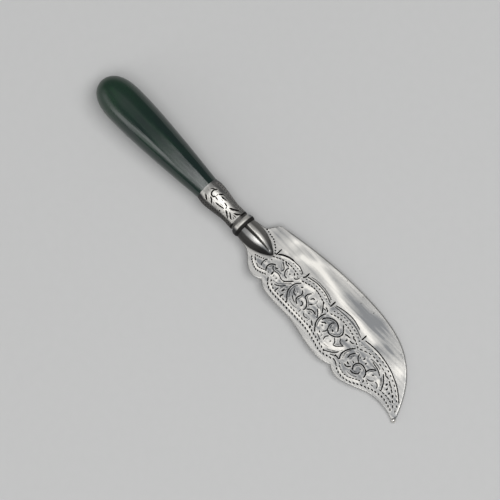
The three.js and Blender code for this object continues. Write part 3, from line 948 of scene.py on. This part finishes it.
# Rows of dashes: gap, length, width, lean, then the line that they follow
boldRows = [
    (1.3, 1, 0.46, 0, 90.6, -0.1, 93.9, 1.5, 97.3, 2.05, 101.1, 1.65),
    (1.35, 1.05, 0.48, 0, 104.5, 1.15, 107.5, 2.1, 110.8, 2.35, 115.3, 1.2),
    (1.45, 1, 0.46, 0, 120.4, 0.25, 122.8, 1.15, 125.6, 1.4, 129, 1.05, 132, 0.3, 135.8, -1.4),
    (1.85, 1.2, 0.44, 0, 137.3, -1.1, 140.5, 0.1, 143.3, 0.35, 147.8, -0.3, 152.1, -1.6, 155.7, -3.5,
     160.4, -7.4),
    (2.1, 0.95, 0.42, 0.1, 142.2, 1.65, 146.9, 1.3, 151.5, -0.05, 155.7, -1.9, 159.5, -4.7, 161.2, -6.1,
     162.2, -8.05),
    (1.05, 0.9, 0.46, -0.4, 85, -5.9, 86.7, -7.1, 89.1, -8, 91.1, -7.6, 93, -6.8),
    (1.45, 1, 0.5, -0.45, 96.2, -8.6, 97.8, -9.4, 100.4, -9.85, 107, -9.9, 115.3, -10, 120.4, -10.6,
     125, -11.85, 127.5, -12.2, 130.7, -11.5, 133, -10.7),
    (1.45, 1, 0.5, -0.45, 136.2, -12.3, 138.8, -13.05, 142.8, -12.4, 146.5, -10.35, 150.8, -8.55,
     154.1, -7.85, 156.5, -7.9, 160.5, -8.9),
    (1, 0.75, 0.4, 0.25, 88.3, -6.4, 89.5, -6.7, 92.2, -5.7),
    (1.45, 0.95, 0.48, -0.4, 96.3, -6.9, 97.7, -7.9, 100.1, -8.57, 108, -8.62, 116.5, -8.7, 120, -9.15,
     124, -10.1, 128, -11),
    (1.2, 0.8, 0.4, 0.25, 135.6, -10.2, 137, -11.3, 139, -11.75, 141.3, -11.4, 145, -9.45),
    (1.8, 1, 0.42, 0.1, 153, -6.5, 156, -6.4, 158.4, -6.85), (1.05, 0.8, 0.4, 0.2, 131, -10.2, 133, -9.2),
    (1.1, 0.75, 0.5, 0.5, 81.6, 5.1, 84.2, 4.6, 85.8, 4.3, 87.1, 3.6, 88.7, 2.5, 90, 1.1),
    (0.95, 0.65, 0.46, 0.9, 88.4, -3.25, 87.5, -3.75, 85.5, -4.45),
    (1, 0.65, 0.46, 0.5, 86, -5.1, 86.8, -5.7),
]
faintRows = [
    (1.6, 0.8, 0.5, 0.3, 97.3, 3.3, 100.6, 3.1, 102.1, 2.7),
    (1.7, 0.8, 0.55, 0.3, 104.8, 2.7, 108.3, 3.5, 112.7, 3.5, 115.1, 2.8),
    (1.55, 0.85, 0.55, 0.2, 120.4, 1.8, 123.2, 2.6, 126.7, 2.7, 131.8, 1.9, 134.6, 0.6),
    (1.6, 0.7, 0.5, 0.4, 136.2, 0.2, 137.6, 0.6, 139.2, 1.1, 140.6, 1.5),
]
# The engraved field lies between these two lines
fieldTop = (
    (83, -6), (86, -4.8), (88.5, -3), (90.2, -0.5), (91, 1.3), (93, 3), (97, 4.05), (100.3, 4),
    (103.9, 2.6), (106, 3.9), (110, 4.4), (114, 3.9), (118.1, 2.4), (121, 4.1), (125, 4.75), (129, 4.4),
    (134.9, 1.9), (138, 2.6), (142, 2.8), (150, 1.4), (154, -0.2), (158, -2.5), (161, -4.9), (163, -8),
)
fieldFoot = (
    (84.5, -6.4), (87, -8), (89.2, -8.7), (93.2, -7.5), (97.8, -10), (100.4, -10.4), (107, -10.5),
    (115.3, -10.6), (120.4, -11.2), (125, -12.5), (127.5, -12.9), (133, -11.4), (138.8, -13.7),
    (142.8, -13.1), (146.5, -11), (150.8, -9.2), (154.1, -8.5), (160.5, -9.6), (163, -10),
)
# Painted shade (positive) and painted highlights (negative) on the plain silver: x, y, reach along and
# across, strength
patches = (
    (133, 8.6, 8, 2.6, 0.5), (134.5, 11, 4, 1.2, 0.35), (125.5, 9.6, 5, 1.9, 0.28),
    (112.5, 10, 5.5, 0.9, 0.24), (100, 9.6, 1.8, 0.6, 0.25), (119.5, 9, 3, 1.3, 0.2),
    (144, 6.3, 2.6, 1.1, 0.32), (149, 7.6, 3, 1.6, 0.15), (156.5, 2.8, 1.6, 1.2, 0.25),
    (107.5, 5.9, 5, 0.8, 0.12), (85.5, 7, 2.5, 2, 0.16), (140.5, 3.5, 3.5, 0.5, 0.4),
    (92, 9, 2.6, 2.4, -0.4), (104, 9.9, 1.5, 1, -0.2), (152.5, 3.2, 2.5, 1.6, -0.4),
    (96.5, 5.6, 1.3, 1, -0.3), (92.6, 4.3, 1.2, 0.6, -0.35),
)
# Painted highlights along lines on the plain silver: reach, strength, then x, y
plainHighlights = (
    (0.6, 0.12, 96.5, -10, 101, -10.7, 115, -10.8, 121, -11.6, 127.5, -13.1, 133, -11.9),
    (1.25, 0.62, 98, 7.2, 100.5, 7.8, 104, 8.6, 108, 8.5, 112, 7.8, 116, 7, 120, 6, 124, 5.5, 128, 5.4,
     132, 4.9, 136, 4.2, 138.5, 3.8),
    (0.7, 0.3, 92, 9.5, 96, 10.9, 101, 11, 105, 10.9, 109, 12.3, 116, 13, 123, 13.2),
)
# Painted highlights along lines in the engraved field: reach, then x, y
glints = (
    (0.35, 86.5, -6.4, 88.3, -7.1, 90.3, -7.1, 92, -6.4), (0.3, 103, 0, 104.5, 0.9),
    (0.32, 96.4, -7.7, 97.8, -8.6, 100.3, -9.1, 107, -9.15, 115.5, -9.25, 120, -9.8),
    (0.5, 99.4, -4.4, 101, -3.4, 102.6, -1.9), (0.6, 106.2, 0.3, 108, 1.2, 109.6, 1.8),
    (0.9, 132.4, -5.6, 131, -7.2, 129, -8.8, 126.2, -9.4), (0.35, 116.1, -1.8, 117.3, -3.1),
    (0.3, 137, 1.9, 140, 2.1, 146, 1.7, 150, 0.7, 156, -1.9, 160, -4.7), (0.4, 149.5, -4.5, 151.3, -5.9),
    (0.35, 136.6, -11.6, 139, -12.4, 142, -11.9, 145.2, -10.2),
    (0.3, 119.4, -0.3, 121, 0.1, 124, 0.2, 126.2, -0.6), (0.3, 134.6, -5, 134.2, -6.5, 134.7, -8.2),
    (0.35, 104.2, 3.2, 108, 3.9, 112, 3.9, 115, 3.3), (0.3, 92.4, 2, 95, 3.1, 98, 3.6, 100.6, 3.5),
    (0.3, 119.3, -3.2, 119.5, -4.8, 120.2, -6.4),
    # painted highlight rings about the dots
    (0.25, 95.3, -5.6, 95.2, -4.6, 96, -4, 97.2, -4.1, 97.8, -5, 97.5, -6),
    (0.25, 98, 0.6, 98.1, -1, 99, -1.6, 100.3, -1.2, 100.8, -0.2),
    (0.25, 108.2, -3.6, 109.5, -3.3, 110.9, -3.9, 111.4, -5, 111.2, -6.3),
    (0.25, 110.2, -0.4, 110, -1.6, 110.9, -2.3, 112, -1.9, 112.6, -1),
    (0.25, 113.5, -6.4, 113.4, -5.2, 114.3, -4.6, 115.6, -4.8, 116.1, -5.8),
    (0.25, 123.6, -3, 124.2, -1.9, 125.4, -1.9, 126.1, -2.9, 125.8, -4.2, 124.7, -4.5),
    (0.25, 119.9, -5.8, 120.1, -4.9, 121.2, -4.3, 122, -4.9, 121.9, -5.9),
    (0.25, 126.3, -7.6, 126.4, -6.3, 127.4, -5.9, 128.2, -6.6, 128.1, -7.7),
    (0.25, 130.3, -3.2, 130.2, -2, 131.1, -1.5, 132, -2, 132.1, -3),
    (0.25, 141, -8, 140.6, -6.8, 141.2, -5.7, 142.4, -5.5, 143.2, -6.2),
    (0.25, 146, -5.6, 145.8, -4.4, 146.7, -3.5, 148, -3.7, 148.4, -4.8),
)
# Painted shade and painted highlights in the engraved field, written as those on the plain silver
fieldPatches = (
    (94.5, -1.5, 6, 4, -0.28), (90.3, -4, 0.8, 1.8, -0.4), (113.5, 0.2, 3, 1.6, -0.25),
    (108, 0.9, 2.4, 0.7, -0.9), (115.2, 0.2, 1.6, 1, -0.5), (128.6, -8.4, 3.2, 1.3, -0.8),
    (150.3, -4.6, 1.2, 0.8, -0.9), (136.6, -8.5, 1.6, 0.8, -0.6), (117, -2, 1, 1.4, -0.5),
    (97.6, 1.2, 0.8, 0.5, -0.7), (101, -3, 1.4, 0.8, -0.6), (122, -8, 1, 0.7, -0.7),
    (141.6, -10.6, 1.6, 0.7, -0.6), (149, -1.4, 1.6, 0.8, -0.5), (124.4, -2.6, 2.4, 2.2, 0.35),
    (141.6, -7, 2.4, 2, 0.35), (104.6, -4.6, 1.6, 3, 0.3), (135.4, -5, 1.4, 3, 0.3),
    (131, -3.2, 1.6, 1.6, 0.3), (88.2, -5.2, 1.6, 1, 0.5), (119.2, 2.6, 1.4, 1.2, 0.3),
    (160, -6.5, 4, 3, 0.2), (102, -5.1, 1.2, 1.6, 0.3), (93, -4.3, 0.9, 0.9, 0.4),
)


def hollowLines():  # lines that run inside the long curls
    found = []
    for width, *row in curls:
        if len(row) <= 4:  # a dot or a straight nick
            continue
        line = through(row, graver["shadeStep"])
        run = np.diff(line, axis=0)
        if strides(line).sum() > graver["shadeFrom"]:
            bend = (run[:-1, 0] * run[1:, 1] - run[:-1, 1] * run[1:, 0]).sum()
            inside = line - np.sign(bend) * sideways(line) * graver["shadeOff"]
            start, end = (len(line) // part for part in graver["shadeTrim"])
            found.append(inside[start:len(line) - end])
    return found


def bladeCuts(hollows):
    nib = {"taper": graver["taper"], "point": graver["point"], "overrun": graver["overrun"]}
    cuts = [stroke(width * opening(row), *row, **nib) for width, *row in scallops + curls]
    cuts += [stroke(*row, slope=graver["faintSlope"]) for row in faintStrokes]
    for line in hollows:
        guide = line[::graver["shadeEvery"]].ravel()
        cuts.append(stroke(graver["shadeWidth"], *guide, slope=graver["shadeSlope"]))
    for gap, length, width, *row in boldRows:
        cuts += dashRow(gap, length * graver["dashStretch"], width * graver["dashSwell"], *row)
    for row in faintRows:
        cuts += dashRow(*row, slope=graver["faintDashSlope"])
    return cuts


def onBlade(pairs, rise):  # shares of the blade's length and height to knife mm
    return np.asarray(pairs, float) * (blade["length"], rise) + (blade["root"], 0)


def chain(start, rows, rise):  # one curve after another, from a start in knife mm
    line = [np.asarray(start, float)[None]]
    for row in rows:
        ends = np.concatenate([line[-1][-1:], onBlade(row, rise)])
        count = max(4, int(strides(ends).sum() / blade["curveStep"]))
        line.append(bezier(ends, count)[1:])
    return np.concatenate(line)


def bladeOutline():
    root = blade["root"]
    neckX, neckY = root + blade["neck"][0], blade["neck"][1]
    slotX, slotY = root + blade["slot"][0], blade["slot"][1]
    top = evenly(np.array([(root, blade["rootHalf"]), (neckX, neckY)]), blade["straightStep"])
    heel = chain((neckX, neckY), [heelCurve], blade["edgeRise"])
    edge = chain(heel[-1], edgeCurves, blade["edgeRise"])
    back = chain(onBlade([backStart], -blade["backDepth"])[0], backCurves, -blade["backDepth"])
    neck = np.concatenate([back[-1:], onBlade(neckHandles, -blade["backDepth"]), [(neckX, -neckY)]])
    back = np.concatenate([back, bezier(neck, blade["neckParts"])[1:]])
    foot = evenly(np.array([(neckX, -neckY), (root, -blade["rootHalf"])]), blade["straightStep"])
    slot = np.array([(root, -slotY), (slotX, -slotY), (slotX, slotY), (root, slotY)])
    border = np.concatenate([top, heel[1:], edge[1:], back, foot[1:], slot])
    return border, edge, np.concatenate([top[:-1], heel]), np.concatenate([back, foot[1:]])


def bevelWidth(x, edge):
    start = blade["bevelStart"]
    return blade["bevel"] * (start + (1 - start) * ease(x, edge[0, 0], edge[0, 0] + blade["bevelRunIn"]))


def faceDrop(flat, edge, heel, back):  # how far the face falls below its flat at the edges
    toEdge = nearLine(flat, edge)[0]
    toBack = np.minimum(nearLine(flat, heel)[0], nearLine(flat, back)[0])
    width = bevelWidth(flat[:, 0], edge)
    crown = blade["crown"] * np.maximum(0, 1 - np.maximum(toEdge, width) / blade["crownReach"]) ** 2
    bevel = np.maximum(0, 1 - toEdge / width) ** blade["bevelRound"] * (blade["half"] - blade["land"] - crown)
    arris = blade["rimDrop"] * np.maximum(0, 1 - toBack / blade["rim"])
    return np.maximum(crown + bevel, arris)


def bladeLines(edge, heel, back):  # lines that the net of each face follows
    bevel = sideways(edge) * bevelWidth(edge[:, 0], edge)[:, None]
    lines = [(edge + bevel * share)[1:-2] for share in blade["bevelLines"]]
    lines += [(line + sideways(line) * blade["rim"])[2:-1] for line in (heel, back)]
    at = np.linspace(*blade["tongueSpan"]) * tongue["length"]
    for side in (-1, 1):
        for gap in blade["tongueLines"]:
            lines.append(np.stack([tongue["root"] + at, side * (tongueRadius(at) + gap)], 1))
    return lines


def inField(x, y):  # 1 in the engraved field, 0 on the plain silver
    under = ease(np.interp(x, *np.transpose(fieldTop)) - y, *bladePaint["fieldEdge"])
    over = ease(y - np.interp(x, *np.transpose(fieldFoot)), *bladePaint["fieldEdge"])
    return under * (over * ease(x, *bladePaint["fieldStart"]))


def glow(flat, line, reach):  # 1 on a line, fading away from it
    return np.exp(-(nearLine(flat, line)[0] / reach) ** 2)


def tongueShadow(x, y):  # painted shadow and dirt on the face beside the tongue
    at = x - tongue["root"]
    gap = np.maximum(np.abs(y) - tongueRadius(np.clip(at, 0, tongue["length"])), 0)
    backShadowAndDirt, edgeShadowAndDirt = (black * np.exp(-gap / reach)
                          for black, reach in (bladePaint["backShadowAndDirt"], bladePaint["edgeShadowAndDirt"]))
    begin, full = (tongue["root"] + tongue["length"] + v for v in bladePaint["shadowAndDirtEnd"])
    return np.where(y < 0, backShadowAndDirt, edgeShadowAndDirt) * (1 - ease(x, begin, full))


def paintFace(flat, nearCuts, hollows, side):  # how inked or in painted shade, how hazy or in painted shade, and how bright with painted highlights each point is
    depth, ink, beside, facing = nearCuts
    x, y = flat.T
    graved = inField(x, y) * (side == 1)
    plain = 1 - graved
    hazeAndShade = bladePaint["fieldHaze"] * graved + bladePaint["plainHaze"] * plain
    highlight = np.zeros(len(flat))
    for reach, strength, *row in plainHighlights:
        highlight = highlight + strength * glow(flat, through(row, bladePaint["plainHighlightStep"]), reach) * plain
    fieldSpots = (fieldPatches, graved, bladePaint["fieldHighlight"], bladePaint["fieldShade"])
    for spots, where, bright, shadeShare in ((patches, plain, 1, 1), fieldSpots):
        for px, py, along, across, strength in spots:
            blob = abs(strength) * np.exp(-((x - px) / along) ** 2 - ((y - py) / across) ** 2) * where
            hazeAndShade = hazeAndShade + blob * shadeShare * (strength > 0)
            highlight = highlight + blob * bright * (strength < 0)
    for reach, *row in glints:
        glint = glow(flat, through(row, bladePaint["glintStep"]), reach)
        highlight = highlight + bladePaint["glint"] * glint * graved
    grey, reach = bladePaint["curlShade"]
    for line in hollows:
        hazeAndShade = hazeAndShade + grey * glow(flat, line, reach) * graved
    fringe = np.exp(-np.maximum(beside, 0) / graver["fringe"]) * (depth <= 0)
    even, lit = bladePaint["fringe"]
    highlight = highlight + fringe * (even + lit * facing) * graved
    return np.stack([np.maximum(ink, tongueShadow(x, y)), hazeAndShade, np.clip(highlight, 0, 1)])


def makeBlade():
    border, edge, heel, back = bladeOutline()
    hollows = hollowLines()
    cuts = bladeCuts(hollows)
    lines = bladeLines(edge, heel, back)
    low, high = border.min(0), border.max(0)
    points = np.zeros((0, 3))
    faces = []
    rims = []
    paint = []
    for side, fill, sideCuts in ((1, blade["fill"], cuts), (-1, blade["backFill"], [])):
        flat, sheet, rim = sheetPlan(border, lines, gridFill(low, high, fill, sideCuts), sideCuts)
        nearCuts = cutDepth(flat, sideCuts)
        z = side * (blade["half"] - faceDrop(flat, edge, heel, back) - nearCuts[0])
        rims.append([i + len(points) for i in rim])
        faces += [[i + len(points) for i in corners] for corners in sheet]
        points = np.concatenate([points, np.column_stack([flat, z])])
        paint.append(paintFace(flat, nearCuts, hollows, side))
    count = len(border)
    for i in range(count):
        j = (i + 1) % count
        faces.append([rims[0][i], rims[0][j], rims[1][j], rims[1][i]])
    ball, ballFaces = beadBall(len(points))
    points = np.concatenate([points, ball])
    faces += ballFaces
    paint.append(np.zeros((3, len(ball))))
    painted = dict(zip(("inkAndShade", "hazeAndShade", "highlight"), np.concatenate(paint, 1)))
    makePiece("blade_engraved", points, faces, silverFinish, "blade", blade["sharp"], painted)


def beadBall(first):  # the bead at the tip
    rings, sides = blade["beadRings"], blade["beadSides"]
    x, y = onBlade([blade["beadAt"]], -blade["backDepth"])[0]
    tilt = np.linspace(0, math.pi, rings + 1)[1:-1]
    turn = np.arange(sides) * 2 * math.pi / sides
    radius = blade["bead"]
    points = [(x, y, radius), (x, y, -radius)]
    points += [(x + radius * math.sin(t) * math.cos(u), y + radius * math.sin(t) * math.sin(u),
                radius * math.cos(t)) for t in tilt for u in turn]
    faces = []
    last = first + 2 + (rings - 2) * sides
    for j in range(sides):
        k = (j + 1) % sides
        faces.append([first, first + 2 + j, first + 2 + k])
        faces.append([first + 1, last + k, last + j])
        for i in range(rings - 2):
            here, there = first + 2 + i * sides, first + 2 + (i + 1) * sides
            faces.append([here + j, there + j, there + k, here + k])
    return points, faces


makeBlade()

# CAD pieces that keep their shape

keptLooks = {"ferrule_end_plate": darkenedSilverFinish, "tang": silverFinish, "setting_pitch": pitchFinish}
for item in scene.objects:
    look = keptLooks.get(item.get("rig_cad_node"))
    if look:
        item.data.materials.clear()
        item.data.materials.append(look)

# Floor, which the handle's belly, the cutting edge and the tip bead rest on

floor = {
    "rests": ((23.6, 0.0, -7.35), (154.4, 4.2, -0.6), (164.4, -10.7, -0.87)),
    "size": 8.0,
    "colour": (0.56, 0.56, 0.555, 1),
}


def floorSockets(wire):
    speck = wire.noise(300.0, 3.0)
    return {
        "Base Color": speck.tint(floor["colour"], tuple(0.97 * c for c in floor["colour"][:3]) + (1,)),
        "Roughness": speck * 0.1 + 0.7,
    }


def makeFloor():
    a, b, c = (Vector(p) for p in place(floor["rests"]))
    up = (b - a).cross(c - a).normalized()
    up = up if up.z > 0 else -up
    half = floor["size"] / 2
    mesh = bpy.data.meshes.new("floor")
    corners = [(-half, -half, 0), (half, -half, 0), (half, half, 0), (-half, half, 0)]
    mesh.from_pydata(corners, [], [(0, 1, 2, 3)])
    mesh.materials.append(finish("floor_paint", floorSockets))
    plane = bpy.data.objects.new("floor", mesh)
    plane.matrix_world = Matrix.Translation(a) @ up.to_track_quat("Z", "Y").to_matrix().to_4x4()
    scene.collection.objects.link(plane)


makeFloor()

# Soft studio light

lamps = {  # place, the way its length runs, length and width in m, brightness of its face
    "top": {"at": (0.94, -0.05, 3.0), "along": (1, 0, 0), "size": (1.78, 3.5), "radiance": 4.4},
    "ceiling": {"at": (-1.8, -0.2, 3.0), "along": (1, 0, 0), "size": (3.4, 2.6), "radiance": 0.17},
    "strip": {"at": (-0.13, -2.02, 1.225), "along": (0.16, 0.35, 0.61),
              "size": (0.72, 0.26), "radiance": 2.5},
    "stripFoot": {"at": (-0.4, -2.29, 0.51), "along": (0.26, 0.18, 0.82),
                  "size": (0.88, 0.46), "radiance": 1.05},
    "stripHead": {"at": (0.16, -1.51, 1.85), "along": (0, 0.77, 0.63), "size": (0.9, 0.34), "radiance": 3.2},
    "side": {"at": (-1.5, -2.04, 0.7), "along": (1, -0.35, 0), "size": (2.8, 1.4), "radiance": 0.5},
    "sideMiddle": {"at": (-1.2, -2.15, 0.62), "along": (1, -0.35, 0), "size": (1.9, 1.05), "radiance": 0.45},
}
sky = {"colour": (0.95, 0.97, 1.0, 1), "strength": 0.2}
litPoint = Vector((-0.04, 0, 0))
downLamps = ("top", "ceiling")  # the others face the lit point


def makeLamps():
    for name, spec in lamps.items():
        lamp = bpy.data.lights.new(name, "AREA")
        lamp.shape = "RECTANGLE"
        lamp.size, lamp.size_y = spec["size"]
        lamp.energy = spec["radiance"] * math.pi * spec["size"][0] * spec["size"][1]
        away = Vector((0, 0, 1)) if name in downLamps else (Vector(spec["at"]) - litPoint).normalized()
        across = away.cross(Vector(spec["along"])).normalized()
        holder = bpy.data.objects.new(name, lamp)
        holder.matrix_world = Matrix.Translation(spec["at"]) @ Matrix(
            (across.cross(away), across, away)).transposed().to_4x4()
        holder.visible_camera = False
        scene.collection.objects.link(holder)
    world = bpy.data.worlds.new("sky")
    world.use_nodes = True
    backdrop = world.node_tree.nodes["Background"]
    backdrop.inputs["Color"].default_value = sky["colour"]
    backdrop.inputs["Strength"].default_value = sky["strength"]
    scene.world = world


makeLamps()

view = {
    "turn": 46.36,  # degrees from the knife's axis to the picture's right
    "height": 77.0,
    "lens": 1200.0,
    "sensor": 36.0,
    "pixel": 0.36178,  # mm of the knife
    "pixels": 500,
    "aim": (82.73, -4.557, 0.0),
    "clipEnd": 50.0,
}


def makeCamera():
    turn, height = math.radians(view["turn"]), math.radians(view["height"])
    right = Vector((math.cos(turn), math.sin(turn), 0))
    back = Vector((math.sin(turn) * math.cos(height), -math.cos(turn) * math.cos(height), math.sin(height)))
    up = back.cross(right)
    lens = bpy.data.cameras.new("camera")
    lens.lens = view["lens"]
    lens.sensor_width = view["sensor"]
    reach = view["pixel"] * view["pixels"] * view["lens"] / view["sensor"] * mm
    holder = bpy.data.objects.new("camera", lens)
    holder.matrix_world = Matrix.Translation(Vector(place(view["aim"])) + back * reach) @ Matrix(
        (right, up, back)).transposed().to_4x4()
    lens.clip_end = view["clipEnd"]
    scene.collection.objects.link(holder)
    scene.camera = holder


makeCamera()
print("floor, lamps and camera set")
